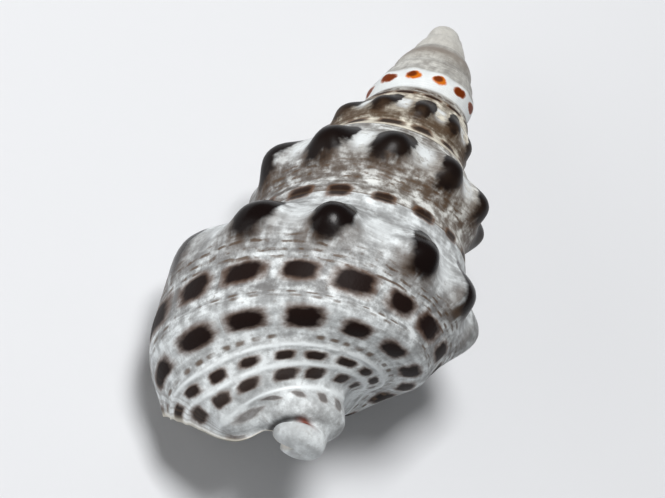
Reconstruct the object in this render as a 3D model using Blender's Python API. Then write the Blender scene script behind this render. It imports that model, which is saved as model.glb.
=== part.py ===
"""Cerith shell: one closed body, a spiral that grows by the same ratio every turn.

The surface is a sheet over two numbers: t, the turns counted back from the outer lip
towards the tip, and v, the place across the whorl (0 and 1 are sutures, 1 to 3 is the
base, the neck and the end of the canal).  Lengths are millimetres in the shell's own
frame (X right, Y back, Z from the tip towards the canal) and are turned into the resting
pose and into metres at the end.
"""
import math

import bmesh
import bpy
import numpy as np

# ---------------------------------------------------------------- named sizes (mm)
GROWTH = 0.695                        # size of a whorl against the one after it
LIP_AZIMUTH = math.radians(-112.4)    # where the sheet starts, seen along the axis
SUTURE = (5.02, 18.40)                # radius and height of the suture at the lip
# v, radius, height across one whorl and over the base, at lip size
PROFILE = [(0.0, 5.02, 18.40), (0.2, 6.24, 19.71), (0.48, 7.38, 21.90), (0.65, 7.61, 23.40),
           (0.91, 7.17, 25.66), (1.0, 5.02 / GROWTH, 18.40 / GROWTH), (1.28, 5.75, 27.58),
           (1.6, 4.0, 28.7), (1.77, 3.1, 29.4), (2.0, 2.35, 30.3), (2.4, 1.4, 31.6),
           (3.0, 0.6, 33.0)]
# small departures from even growth, by turn
DRIFT_TURNS = [-1, -0.5, 0, 0.5, 1, 1.5, 2, 3, 4.5, 6]
DRIFT_RADIUS = [-0.016, 0.008, 0.035, 0.109, 0.155, 0.108, 0.085, 0.25, 0.32, 0.33]
DRIFT_HEIGHT = [0.022, -0.006, 0.031, 0.022, 0.001, -0.003, 0.002, -0.024, -0.057, -0.081]
# flared edge of the outer lip: v, radius, height
LIP_EDGE = [(0, 5.22, 18.99), (0.2, 6.5, 19.75), (0.48, 7.8, 21.2), (0.65, 8.3, 22.5),
            (0.9, 8.2, 24.7), (1.0, 7.8, 25.6), (1.28, 6.5, 27.2), (1.6, 4.8, 28.3),
            (1.77, 3.65, 28.65), (2.0, 2.3, 28.95), (2.2, 1.1, 28.75), (2.35, 0.5, 28.4)]
LIP_FORWARD = math.radians(20)        # how far the middle of the lip grows forward
# neck and end of the canal: v, height, radius, centre X, centre Y
CANAL = [(1.6, 24.6, 2.9, 0.25, 0.15), (1.8, 25.5, 2.55, 0.5, 0.3),
         (2.0, 26.35, 2.25, 0.75, 0.5), (2.2, 27.05, 1.95, 0.95, 0.68),
         (2.36, 27.55, 1.65, 1.08, 0.8), (2.48, 27.88, 1.38, 1.13, 0.86),
         (2.62, 28.25, 1.28, 1.16, 0.89), (2.74, 28.5, 1.24, 1.17, 0.9),
         (2.86, 28.74, 1.0, 1.18, 0.92), (2.94, 28.87, 0.6, 1.18, 0.92),
         (3.0, 28.92, 0.0, 1.18, 0.93)]
CANAL_TILT = 0.5                      # the neck stands higher on the left
GROOVE_PLACE, GROOVE_WIDTH, GROOVE_DEPTH = 2.5, 0.06, 0.3   # behind the rim of the canal
NECK_START, NECK_LATER, NECK_LENGTH = 1.75, 0.35, 0.5       # v; later by the lip
SLOT, SLOT_PLACES = 0.13, (1.9, 2.3)  # share of the canal left open, reached between these v
SLOT_TURN = math.radians(12)          # how far the slot has turned from the lip
FLOOR_DEPTH, FLOOR_WIDTH = 0.55, 0.3  # bottom of the slot
SPIRE_FLAT, FLAT_TURNS = 0.48, (1.8, 3.8)       # share of the bulge that the spire has lost
SUTURE_FILL, FILL_WIDTH = 0.7, 0.13   # how much the sutures of the spire are filled
KNOB_FIRST, KNOB_STEP = 0.096, 0.0925           # turns
KNOB_NUDGES = [(0.28, 0.035, -0.009), (0.385, 0.035, 0.0105)]   # turn, reach, shift
KNOB_PLACE, KNOB_HEIGHT = 0.478, 0.95
KNOB_WIDTH, KNOB_ROUNDNESS = 0.27, 2.6          # half width in knob steps; 2 is a plain hill
KNOB_WIDTHS = (0.2, 0.15)             # half widths in v towards the tip and the canal
KNOB_AT_LIP, KNOB_LIP_TURNS = 0.5, (0.05, 0.27)  # the newest knobs are lower
KNOB_FADE = (1.6, 3.8)                # turns over which they fade towards the tip
KNOB_WORN, WORN_TURNS = 0.9, (0.7, 0.78, 1.0, 1.08)
VARIX_TURN, VARIX_HEIGHT = 0.73, 1.55
VARIX_WIDTHS = (0.055, 0.1)           # half widths in turns, lip side and tip side
VARIX_RISE = [(0.3, 0.8, 0.38), (1.0, 1.3, 0.9), (1.3, 1.6, 0.2)]   # v from, v to, share
VARIX_END = (1.8, 2.3)
CALLUS_DEPTH = 0.5                    # the body whorl is flat beside the mouth
CALLUS_TURNS = (0.76, 0.84, 0.97, 1.05)
CALLUS_PLACES = (0.08, 0.35, 1.3, 1.7)
KEEL_PLACE, KEEL_WIDTH, KEEL_DEPTH = 1.02, 0.14, 0.38   # rounded where no seam will follow
KEEL_TURNS = (0.03, 0.15, 0.6, 0.95)
EDGE_REACH, FORWARD_REACH = 0.085, 0.1          # turns over which the lip's own shape fades
TIP_HEIGHT = 1.4
TIP_LEAN = (-0.65, -0.15)             # the oldest whorls sit a little off the axis
LEAN_BELOW = 6.0                      # height under which they do
DOME_RINGS = ((0.3, 0.5), (0.55, 1.0), (0.78, 1.0), (0.92, 1.0))    # share up, evenness
# inside of the mouth and of the hollow: v, radius, height
MOUTH = [(0.0, 5.22, 18.99), (0.12, 5.6, 19.75), (0.3, 6.4, 20.5), (0.5, 7.05, 21.55),
         (0.65, 7.4, 22.8), (0.9, 7.2, 24.6), (1.0, 6.9, 25.3), (1.28, 5.75, 26.65),
         (1.6, 4.3, 27.5), (1.77, 3.35, 27.75), (2.0, 2.3, 27.8), (2.2, 1.4, 27.6),
         (2.35, 0.9, 27.4), (3.0, 0.5, 27.0)]
HOLLOW_OUT = [(0.0, 5.0, 20.1), (0.12, 5.45, 20.2), (0.3, 6.1, 20.9), (0.5, 6.65, 22.0),
              (0.65, 6.85, 23.1), (0.9, 6.6, 24.8), (1.0, 6.35, 25.4), (1.28, 5.4, 26.5),
              (1.6, 4.1, 27.15), (1.77, 3.55, 27.3), (2.0, 3.05, 27.3), (2.35, 2.5, 27.15),
              (3.0, 1.9, 26.6)]
HOLLOW_IN = [(1.0, 5.0, 20.1), (1.13, 4.2, 20.1), (1.3, 3.2, 20.4), (1.5, 2.25, 20.9),
             (1.65, 1.7, 21.6), (1.8, 1.3, 22.5), (2.0, 1.1, 23.7), (2.2, 1.1, 24.8),
             (2.4, 1.2, 25.5), (2.65, 1.45, 26.1), (3.0, 1.9, 26.6)]
HOLLOW_TURNS = (0.12, 0.22, 0.32, 0.42, 0.52, 0.6)
HOLLOW_BEND = (0.2, 0.45, 0.72, 1.0)  # steps from the rim to the first of these
HOLLOW_END_TURN, HOLLOW_END_SIZE = 0.65, 0.6
# upward direction in the shell's own frame when it lies on its mouth
REST_UP = (0.2028, 0.9640, 0.1719)

# ---------------------------------------------------------------- mesh density
SEGMENTS = 66                         # around one turn
TURNS = 5.8
COARSE_FROM = 3                       # turns from which half the rows are enough
ROWS_WHORL = [0.0, 0.12, 0.24, 0.36, 0.478, 0.57, 0.66, 0.76, 0.86, 0.93, 1.0]
ROWS_BASE = [1.13, 1.27, 1.4, 1.53, 1.65, 1.76, 1.88, 2.0, 2.14, 2.26, 2.37, 2.48, 2.6,
             2.74, 2.88]


def through(points):
    """A smooth curve through rows of (x, y...)."""
    data = np.array(points, float)
    xs, ys = data[:, 0], data[:, 1:]
    n = len(xs)
    h = np.diff(xs)
    a = np.zeros((n, n))
    b = np.zeros((n, ys.shape[1]))
    a[0, 0] = a[-1, -1] = 1.0
    for i in range(1, n - 1):
        a[i, i - 1], a[i, i], a[i, i + 1] = h[i - 1], 2 * (h[i - 1] + h[i]), h[i]
        b[i] = 6 * ((ys[i + 1] - ys[i]) / h[i] - (ys[i] - ys[i - 1]) / h[i - 1])
    m = np.linalg.solve(a, b)

    def curve(x):
        i = int(np.clip(np.searchsorted(xs, x) - 1, 0, n - 2))
        p, q = (xs[i + 1] - x) / h[i], (x - xs[i]) / h[i]
        return (p * ys[i] + q * ys[i + 1]
                + ((p ** 3 - p) * m[i] + (q ** 3 - q) * m[i + 1]) * h[i] ** 2 / 6)

    return curve


profile = through(PROFILE)
drift = through(list(zip(DRIFT_TURNS, DRIFT_RADIUS, DRIFT_HEIGHT)))
lip_edge = through(LIP_EDGE)
canal = through(CANAL)
mouth = through(MOUTH)
hollow_out = through(HOLLOW_OUT)
hollow_in = through(HOLLOW_IN)


def share(low, high, x):
    return min(max((x - low) / (high - low), 0.0), 1.0)


def step(low, high, x):
    s = share(low, high, x)
    return s * s * (3 - 2 * s)


def between(start, full, fading, end, x):
    return step(start, full, x) * (1 - step(fading, end, x))


def hill(x, width):
    return math.exp(-(x / width) ** 2)


def knobs(t, v):
    steps = t - KNOB_FIRST - sum(shift * hill(t - turn, reach) for turn, reach, shift in KNOB_NUDGES)
    away = steps / KNOB_STEP - round(steps / KNOB_STEP)
    wave = math.exp(-abs(away / KNOB_WIDTH) ** KNOB_ROUNDNESS)
    across = hill(v - KNOB_PLACE, KNOB_WIDTHS[0 if v < KNOB_PLACE else 1]) * step(0.0, 0.12, v)
    near_lip = KNOB_AT_LIP + (1 - KNOB_AT_LIP) * step(*KNOB_LIP_TURNS, t)
    near_tip = 1 - share(*KNOB_FADE, t)
    worn = 1 - KNOB_WORN * between(*WORN_TURNS, t)
    return KNOB_HEIGHT * wave * across * near_lip * near_tip * worn


def varix(t, v):
    across = sum(part * step(low, high, v) for low, high, part in VARIX_RISE)
    across *= 1 - step(*VARIX_END, v)
    return VARIX_HEIGHT * hill(t - VARIX_TURN, VARIX_WIDTHS[0 if t < VARIX_TURN else 1]) * across


def callus(t, v):
    return -CALLUS_DEPTH * between(*CALLUS_TURNS, t) * between(*CALLUS_PLACES, v)


def keel(t, v):
    return -KEEL_DEPTH * hill(v - KEEL_PLACE, KEEL_WIDTH) * between(*KEEL_TURNS, t)


def sheet(t, v, raised):
    """Radius and height of the whorl sheet, before the lip and the canal."""
    q = profile(v)
    d = profile(v + 1e-3) - profile(v - 1e-3)
    normal = np.array([d[1], -d[0]]) / math.hypot(d[0], d[1])
    if v <= 1:
        flat = np.array(SUTURE) * GROWTH ** (-v)
        bulge = (1 - SPIRE_FLAT * share(*FLAT_TURNS, t)) * (1 - step(TURNS - 1, TURNS, t))
        q = flat * (1 - bulge) + q * bulge
    q = q + raised * normal
    k = drift(t - min(v, 1.0))
    g = GROWTH ** t
    fill = SUTURE_FILL * step(0.0, 0.3, t - v) * GROWTH ** (t - v)
    fill *= 1 - step(TURNS - 1.2, TURNS, t - v + 1)
    fill *= hill(v, FILL_WIDTH) + hill(v - 1, FILL_WIDTH)
    return q[0] * g * math.exp(k[0]) + fill, q[1] * g * math.exp(k[1])


def lip_forward(v):
    return LIP_FORWARD * step(0.15, 0.6, v) * (1 - step(1.05, 1.75, v))


def lean_at(z):
    return np.array(TIP_LEAN) * max(1 - z / LEAN_BELOW, 0.0) ** 2


def whorl_point(t, v, near):
    r, z = sheet(t, v, knobs(t, v) + varix(t, v) + callus(t, v) + keel(t, v))
    r0, z0 = sheet(0.0, v, 0.0)
    edge = lip_edge(min(v, LIP_EDGE[-1][0]))
    r, z = r + near * (edge[0] - r0), z + near * (edge[1] - z0)
    turn = LIP_AZIMUTH + 2 * math.pi * t - lip_forward(v) * hill(t, FORWARD_REACH)
    lean = lean_at(z)
    return np.array([r * math.sin(turn) + lean[0], r * math.cos(turn) + lean[1], z])


def neck_point(t, v):
    opening = step(*SLOT_PLACES, v)
    slot = SLOT * opening
    turn = LIP_AZIMUTH - SLOT_TURN * opening + 2 * math.pi * (slot / 2 + t * (1 - slot))
    height, ring, x, y = canal(max(v, CANAL[0][0]))
    ring -= GROOVE_DEPTH * hill(v - GROOVE_PLACE, GROOVE_WIDTH) * (0.5 + 0.5 * math.cos(turn + 0.5))
    lift = -CANAL_TILT * math.sin(turn) * between(1.75, 2.0, 2.35, 2.7, v)
    return np.array([x + ring * math.sin(turn), y + ring * math.cos(turn), height + lift])


def point(t, v):
    near = hill(t, EDGE_REACH)
    start = NECK_START + NECK_LATER * near
    w = step(start, start + NECK_LENGTH, v)
    return whorl_point(t, v, near) * (1 - w) + neck_point(t, v) * w


def half_plane(rz, t, back=0.0):
    g = GROWTH ** t
    turn = LIP_AZIMUTH + 2 * math.pi * t - back
    return np.array([rz[0] * g * math.sin(turn), rz[0] * g * math.cos(turn), rz[1] * g])


def canal_floor(t, v):
    """Bottom of the open canal: between its two edges, pushed into the neck."""
    here, across = point(t, v), point(1.0 - t, v)
    middle = (here + across) / 2
    height, _, x, y = canal(min(v, 2.9))
    inward = np.array([x, y, height - 0.5]) - middle
    return middle + FLOOR_DEPTH * inward / np.linalg.norm(inward) + FLOOR_WIDTH * (here - middle)


class Builder:
    def __init__(self):
        self.verts, self.faces, self.seen = [], [], {}

    def add(self, p):
        self.verts.append(tuple(float(c) for c in p))
        return len(self.verts) - 1

    def at(self, i, v):
        """Vertex i steps back from the lip at place v; v = 1 is the suture one turn on."""
        if v == 1.0 and i >= SEGMENTS:
            i, v = i - SEGMENTS, 0.0
        if v == 3.0:
            i = 0
        key = (i, v)
        if key not in self.seen:
            self.seen[key] = self.add(point(i / SEGMENTS, v))
        return self.seen[key]

    def tube(self, before, rings):
        """Joins closed rings, turned so that their faces look into the hollow."""
        n = len(before)
        for ring in rings:
            now = [self.add(p) for p in ring]
            for a in range(n):
                b = (a + 1) % n
                self.faces.append([now[a], now[b], before[b], before[a]])
            before = now
        return before


def build_outside(b):
    last = int(round(TURNS * SEGMENTS))
    half = COARSE_FROM * SEGMENTS
    for i in range(last):
        jump = 1 if i < half else 2
        for j in range(0, len(ROWS_WHORL) - 1, jump):
            v0, v1 = ROWS_WHORL[j], ROWS_WHORL[j + jump]
            face = [b.at(i, v0), b.at(i, v1), b.at(i + 1, v1), b.at(i + 1, v0)]
            if i == half:
                face.insert(1, b.at(i, ROWS_WHORL[j + 1]))
            b.faces.append(face)
    rows = [1.0] + ROWS_BASE + [3.0]
    for i in range(SEGMENTS):
        for v0, v1 in zip(rows[:-1], rows[1:]):
            face = [b.at(i, v0), b.at(i, v1), b.at(i + 1, v1), b.at(i + 1, v0)]
            b.faces.append(face[:2] + face[3:] if v1 == 3.0 else face)
    return last


def build_tip(b, last):
    """A dome over the last turn of the seam and the cut end of the whorl."""
    loop = [b.at(i, 0.0) for i in range(last - SEGMENTS, last + 1)]
    loop += [b.at(last, v) for v in ROWS_WHORL[2:-1:2]]
    start = np.array([b.verts[i] for i in loop])
    n = len(loop)
    top = np.array([*lean_at(TIP_HEIGHT), TIP_HEIGHT])
    low = start[:, 2].mean()
    wide = np.hypot(start[:, 0] - top[0], start[:, 1] - top[1]).mean()
    lean = lean_at(start[0][2])
    first = math.atan2(start[0][0] - lean[0], start[0][1] - lean[1])
    before = loop
    for up, even in DOME_RINGS:
        out, down = math.cos(up * math.pi / 2), math.sin(up * math.pi / 2)
        now = []
        for k, p in enumerate(start):
            own = np.array([*(p[:2] * out + top[:2] * (1 - out)),
                            p[2] + (TIP_HEIGHT - p[2]) * down])
            turn = first + 2 * math.pi * k / n
            dome = np.array([top[0] + wide * out * math.sin(turn),
                             top[1] + wide * out * math.cos(turn), low + (TIP_HEIGHT - low) * down])
            now.append(b.add(own * (1 - even) + dome * even))
        for k in range(n):
            m = (k + 1) % n
            b.faces.append([before[k], before[m], now[m], now[k]])
        before = now
    end = b.add(top)
    for k in range(n):
        b.faces.append([before[k], before[(k + 1) % n], end])


def build_mouth(b):
    """Rings from the rim of the mouth into the hollow, which follows the spiral and ends."""
    edge = [("lip", v, b.at(0, v)) for v in ROWS_WHORL + ROWS_BASE + [3.0]]
    edge += [("pillar", v, b.at(SEGMENTS, v)) for v in ROWS_BASE[::-1]]
    rim = np.array([b.verts[i] for _, _, i in edge])
    middle, deep = [], []
    for side, v, _ in edge:
        in_canal = step(*SLOT_PLACES, v)
        if side == "lip":
            p = half_plane(mouth(v), 0.0, lip_forward(v))
            floor = canal_floor(0.0, v)
            deep.append(hollow_out(v))
        else:
            p = 0.5 * half_plane(hollow_in(v), 0.0) + 0.5 * point(1.0, v)
            floor = canal_floor(1.0, v)
            deep.append(hollow_in(v))
        middle.append(p * (1 - in_canal) + floor * in_canal)
    middle = np.array(middle)

    def ring(t):
        return np.array([half_plane(rz, t) for rz in deep])

    first = ring(HOLLOW_TURNS[0])
    rings = [(1 - s) ** 2 * rim + 2 * s * (1 - s) * middle + s * s * first for s in HOLLOW_BEND]
    rings += [ring(t) for t in HOLLOW_TURNS[1:]]
    end = half_plane(np.array(deep).mean(axis=0), HOLLOW_END_TURN)
    rings.append(end + (rings[-1] - rings[-1].mean(axis=0)) * HOLLOW_END_SIZE)
    before = b.tube([i for _, _, i in edge], rings)
    tip = b.add(end)
    n = len(before)
    for k in range(n):
        b.faces.append([tip, before[(k + 1) % n], before[k]])


def rest_frame(verts):
    """Turns the shell so that it lies on its mouth with the tip towards +Y."""
    up = np.array(REST_UP)
    up /= np.linalg.norm(up)
    ahead = np.array([0.0, 0.0, -1.0])
    ahead -= ahead.dot(up) * up
    ahead /= np.linalg.norm(ahead)
    side = np.cross(ahead, up)
    turned = np.array(verts) @ np.array([side, ahead, up]).T
    low, high = turned.min(axis=0), turned.max(axis=0)
    return (turned - np.array([(low[0] + high[0]) / 2, (low[1] + high[1]) / 2, low[2]])) / 1000


def main():
    for obj in list(bpy.data.objects):
        bpy.data.objects.remove(obj, do_unlink=True)
    b = Builder()
    last = build_outside(b)
    build_tip(b, last)
    build_mouth(b)
    mesh = bpy.data.meshes.new("shell")
    mesh.from_pydata([tuple(p) for p in rest_frame(b.verts)], [], b.faces)
    bm = bmesh.new()
    bm.from_mesh(mesh)
    bmesh.ops.triangulate(bm, faces=[f for f in bm.faces if len(f.verts) > 3])
    bmesh.ops.recalc_face_normals(bm, faces=bm.faces[:])
    if bm.calc_volume(signed=True) < 0:
        bmesh.ops.reverse_faces(bm, faces=bm.faces[:])
    bm.to_mesh(mesh)
    print("triangles", len(bm.faces), "open edges", sum(not e.is_manifold for e in bm.edges),
          "volume mm3", round(bm.calc_volume() * 1e9, 1))
    bm.free()
    for face in mesh.polygons:
        face.use_smooth = True
    material = bpy.data.materials.new("shell_lime")
    material.use_nodes = True
    shader = material.node_tree.nodes["Principled BSDF"]
    shader.inputs["Base Color"].default_value = (0.72, 0.69, 0.64, 1.0)
    shader.inputs["Roughness"].default_value = 0.45
    mesh.materials.append(material)
    shell = bpy.data.objects.new("shell", mesh)
    group = bpy.data.collections.new("cerith_shell")
    bpy.context.scene.collection.children.link(group)
    group.objects.link(shell)


main()
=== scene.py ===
# %% [markdown]
# # A cerith shell
# A cerith is a small sea snail. Its shell is one piece of lime, a tube wound round an axis, and every turn
# is larger than the last by nearly the same ratio. So one rule can draw all of it, and this lesson writes
# that rule as a Geometry Nodes tree. The measures are the shell's own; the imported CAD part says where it
# lies.

# %% Load the frame
import math

import bmesh
import bpy
import numpy as np
from mathutils import Matrix, Vector


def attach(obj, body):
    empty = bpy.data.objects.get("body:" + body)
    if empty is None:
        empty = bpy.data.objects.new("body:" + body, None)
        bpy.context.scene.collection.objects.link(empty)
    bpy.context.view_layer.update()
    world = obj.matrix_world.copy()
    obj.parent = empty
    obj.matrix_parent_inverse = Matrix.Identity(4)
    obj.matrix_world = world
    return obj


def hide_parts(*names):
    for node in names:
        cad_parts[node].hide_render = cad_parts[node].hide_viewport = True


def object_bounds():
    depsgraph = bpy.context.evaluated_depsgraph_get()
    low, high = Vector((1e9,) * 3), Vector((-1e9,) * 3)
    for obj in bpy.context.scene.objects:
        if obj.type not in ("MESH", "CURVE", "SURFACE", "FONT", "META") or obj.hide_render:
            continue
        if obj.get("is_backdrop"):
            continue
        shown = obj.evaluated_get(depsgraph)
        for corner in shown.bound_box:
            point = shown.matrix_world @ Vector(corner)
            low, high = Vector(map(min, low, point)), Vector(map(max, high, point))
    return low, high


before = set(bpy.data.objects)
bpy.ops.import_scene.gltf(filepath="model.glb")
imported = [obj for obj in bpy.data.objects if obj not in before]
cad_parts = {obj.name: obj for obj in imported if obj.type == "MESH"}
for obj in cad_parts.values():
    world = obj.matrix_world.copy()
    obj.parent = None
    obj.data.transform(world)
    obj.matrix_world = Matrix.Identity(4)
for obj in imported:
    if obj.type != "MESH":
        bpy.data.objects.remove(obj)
cad_low, cad_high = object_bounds()
print("CAD box in mm", [round(1000 * (b - a), 2) for a, b in zip(cad_low, cad_high)])

# %% [markdown]
# ## Curves from a few points
# The outline across a whorl is given by a handful of points. A natural cubic spline runs through them
# without kinks. It is worked out here once, because Blender's curve objects would hide the numbers.


# %% A smooth curve through points
def through(points):
    """Returns a function that gives a row of values at x, from rows of (x, value, ...)."""
    data = np.array(points, float)
    xs, ys = data[:, 0], data[:, 1:]
    n = len(xs)
    gaps = np.diff(xs)
    matrix = np.zeros((n, n))
    bends = np.zeros((n, ys.shape[1]))
    matrix[0, 0] = matrix[-1, -1] = 1.0
    for i in range(1, n - 1):
        matrix[i, i - 1:i + 2] = gaps[i - 1], 2 * (gaps[i - 1] + gaps[i]), gaps[i]
        bends[i] = 6 * ((ys[i + 1] - ys[i]) / gaps[i] - (ys[i] - ys[i - 1]) / gaps[i - 1])
    second = np.linalg.solve(matrix, bends)

    def curve(x):
        i = int(np.clip(np.searchsorted(xs, x) - 1, 0, n - 2))
        p, q = (xs[i + 1] - x) / gaps[i], (x - xs[i]) / gaps[i]
        bow = (p ** 3 - p) * second[i] + (q ** 3 - q) * second[i + 1]
        return p * ys[i] + q * ys[i + 1] + bow * gaps[i] ** 2 / 6

    return curve


# %% [markdown]
# ## The shell's own measures
# Two numbers name every point of the surface. The turn t counts back from the lip towards the tip. The
# place v runs across the whorl: 0 and 1 are the seams (sutures) with the neighbouring whorls, 1 to 3 is
# the base, the neck and the end of the canal. Lengths are millimetres, with the axis of the shell along Z
# and the tip at the origin.

# %% Measures of the whorl
GROWTH = 0.695                      # size of a whorl against the one after it
TURNS = 5.8
LIP_AZIMUTH = math.radians(-112.4)
SUTURE = (5.02, 18.40)              # radius and height of the seam at the lip
PROFILE = [(0.0, 5.02, 18.40), (0.2, 6.24, 19.71), (0.48, 7.38, 21.90), (0.65, 7.61, 23.40),
           (0.91, 7.17, 25.66), (1.0, 5.02 / GROWTH, 18.40 / GROWTH), (1.28, 5.75, 27.58),
           (1.6, 4.0, 28.7), (1.77, 3.1, 29.4), (2.0, 2.35, 30.3), (2.4, 1.4, 31.6),
           (3.0, 0.6, 33.0)]
DRIFT = [(-1, -0.016, 0.022), (-0.5, 0.008, -0.006), (0, 0.035, 0.031), (0.5, 0.109, 0.022),
         (1, 0.155, 0.001), (1.5, 0.108, -0.003), (2, 0.085, 0.002), (3, 0.25, -0.024),
         (4.5, 0.32, -0.057), (6, 0.33, -0.081)]
SUTURE_FILL = 0.7
TIP_LEAN = (-0.65, -0.15)           # the oldest whorls sit a little off the axis
LEAN_BELOW = 6.0

profile = through(PROFILE)
drift = through(DRIFT)
print("one whorl grows by", round(1 / GROWTH, 3))

# %% Measures of the lip, the canal and the hollow
LIP_EDGE = [(0, 5.22, 18.99), (0.2, 6.5, 19.75), (0.48, 7.8, 21.2), (0.65, 8.3, 22.5),
            (0.9, 8.2, 24.7), (1.0, 7.8, 25.6), (1.28, 6.5, 27.2), (1.6, 4.8, 28.3),
            (1.77, 3.65, 28.65), (2.0, 2.3, 28.95), (2.2, 1.1, 28.75), (2.35, 0.5, 28.4)]
LIP_FORWARD = math.radians(20)
CANAL = [(1.6, 24.6, 2.9, 0.25, 0.15), (1.8, 25.5, 2.55, 0.5, 0.3),
         (2.0, 26.35, 2.25, 0.75, 0.5), (2.2, 27.05, 1.95, 0.95, 0.68),
         (2.36, 27.55, 1.65, 1.08, 0.8), (2.48, 27.88, 1.38, 1.13, 0.86),
         (2.62, 28.25, 1.28, 1.16, 0.89), (2.74, 28.5, 1.24, 1.17, 0.9),
         (2.86, 28.74, 1.0, 1.18, 0.92), (2.94, 28.87, 0.6, 1.18, 0.92),
         (3.0, 28.92, 0.0, 1.18, 0.93)]
CANAL_TILT, CANAL_GROOVE, SLOT = 0.5, 0.3, 0.13
MOUTH = [(0.0, 5.22, 18.99), (0.12, 5.6, 19.75), (0.3, 6.4, 20.5), (0.5, 7.05, 21.55),
         (0.65, 7.4, 22.8), (0.9, 7.2, 24.6), (1.0, 6.9, 25.3), (1.28, 5.75, 26.65),
         (1.6, 4.3, 27.5), (1.77, 3.35, 27.75), (2.0, 2.3, 27.8), (2.2, 1.4, 27.6),
         (2.35, 0.9, 27.4), (3.0, 0.5, 27.0)]
HOLLOW_OUT = [(0.0, 5.0, 20.1), (0.12, 5.45, 20.2), (0.3, 6.1, 20.9), (0.5, 6.65, 22.0),
              (0.65, 6.85, 23.1), (0.9, 6.6, 24.8), (1.0, 6.35, 25.4), (1.28, 5.4, 26.5),
              (1.6, 4.1, 27.15), (1.77, 3.55, 27.3), (2.0, 3.05, 27.3), (2.35, 2.5, 27.15),
              (3.0, 1.9, 26.6)]
HOLLOW_IN = [(1.0, 5.0, 20.1), (1.13, 4.2, 20.1), (1.3, 3.2, 20.4), (1.5, 2.25, 20.9),
             (1.65, 1.7, 21.6), (1.8, 1.3, 22.5), (2.0, 1.1, 23.7), (2.2, 1.1, 24.8),
             (2.4, 1.2, 25.5), (2.65, 1.45, 26.1), (3.0, 1.9, 26.6)]

lip_edge = through(LIP_EDGE)
canal = through(CANAL)
mouth = through(MOUTH)
hollow_out = through(HOLLOW_OUT)
hollow_in = through(HOLLOW_IN)

# %% Measures of what stands out from the whorl
KNOB_FIRST, KNOB_STEP = 0.096, 0.0925           # turns
KNOB_NUDGES = [(0.28, 0.035, -0.009), (0.385, 0.035, 0.0105)]   # turn, reach, shift
KNOB_PLACE = 0.478
KNOB_WIDTH, KNOB_ROUNDNESS = 0.27, 2.6           # half width in knob steps; 2 is a plain hill
VARIX_TURN = 0.73
# place, half height (in v), spots in a turn, first spot (turns), dark share, strength, cord height (mm)
SPOT_ROWS = [(0.890, 0.060, 15.9, 0.1360, 0.64, 1.00, 0.10),
             (1.260, 0.074, 13.5, 0.1360, 0.64, 1.00, 0.12),
             (1.590, 0.038, 15.7, 0.1370, 0.62, 0.95, 0.10),
             (1.758, 0.050, 13.0, 0.1180, 0.58, 0.90, 0.10),
             (2.110, 0.075, 11.1, 0.1880, 0.44, 0.50, 0.05)]
WHITE_RIDGES = [(1.50, 0.022), (1.67, 0.022)]   # place, half height
RIDGE_HEIGHT = 0.10

# %% [markdown]
# ## Arithmetic that builds nodes
# A long formula is hard to read as nodes that are placed one by one. The small class below makes a
# number in a node tree behave like a Python number: writing a + b adds a Math node. The same class
# serves the shape (Geometry Nodes) and the finish (shader nodes).


# %% A number in a node tree
class Field:
    def __init__(self, tree, socket):
        self.tree = tree
        self.socket = socket

    def __add__(self, other):
        return maths("ADD", self, other)

    def __radd__(self, other):
        return maths("ADD", other, self)

    def __sub__(self, other):
        return maths("SUBTRACT", self, other)

    def __rsub__(self, other):
        return maths("SUBTRACT", other, self)

    def __mul__(self, other):
        return maths("MULTIPLY", self, other)

    def __rmul__(self, other):
        return maths("MULTIPLY", other, self)

    def __truediv__(self, other):
        return maths("DIVIDE", self, other)

    def __pow__(self, other):
        return maths("POWER", self, other)


def plug(tree, socket, value):
    if isinstance(value, Field):
        tree.links.new(value.socket, socket)
    else:
        socket.default_value = value


def maths(operation, *values):
    tree = next(value.tree for value in values if isinstance(value, Field))
    node = tree.nodes.new("ShaderNodeMath")
    node.operation = operation
    for socket, value in zip(node.inputs, values):
        plug(tree, socket, value)
    return Field(tree, node.outputs[0])


# %% Helpers that read like words
def least(a, b):
    return maths("MINIMUM", a, b)


def most(a, b):
    return maths("MAXIMUM", a, b)


def sine(x):
    return maths("SINE", x)


def cosine(x):
    return maths("COSINE", x)


def hill(x, width):
    """1 at x = 0, falling to nothing a few widths away."""
    scaled = x / width
    return maths("EXPONENT", scaled * scaled * -1.0)


def mix(a, b, share):
    return a + (b - a) * share


def ramp(low, high, x, smooth=True):
    """0 below low, 1 above high."""
    node = x.tree.nodes.new("ShaderNodeMapRange")
    node.interpolation_type = "SMOOTHSTEP" if smooth else "LINEAR"
    node.clamp = True
    plug(x.tree, node.inputs["Value"], x)
    plug(x.tree, node.inputs["From Min"], low)
    plug(x.tree, node.inputs["From Max"], high)
    return Field(x.tree, node.outputs["Result"])


CURVE_ROWS = 60


def follow(x, curve, low, high):
    """Looks x up on a smooth curve, through a Float Curve node."""
    values = [float(curve(low + (high - low) * i / CURVE_ROWS)) for i in range(CURVE_ROWS + 1)]
    bottom, span = min(values), max(max(values) - min(values), 1e-6)
    node = x.tree.nodes.new("ShaderNodeFloatCurve")
    line = node.mapping.curves[0]
    for i, value in enumerate(values):
        place = (i / CURVE_ROWS, (value - bottom) / span)
        if i in (0, CURVE_ROWS):
            line.points[0 if i == 0 else -1].location = place
        else:
            line.points.new(*place)
    node.mapping.update()
    plug(x.tree, node.inputs["Value"], ramp(low, high, x, smooth=False))
    return Field(x.tree, node.outputs["Value"]) * span + bottom


# %% [markdown]
# ## The rule of the surface
# The rule is a node group: a turn and a place go in, and a point comes out. It first looks up the
# outline, pushes it outwards where a knob, a cord or an old lip stands, and then shrinks and turns it by
# the growth rule. The last part of the outline is the neck around the canal, which leans to one side, so
# it has a centre line of its own.


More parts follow.
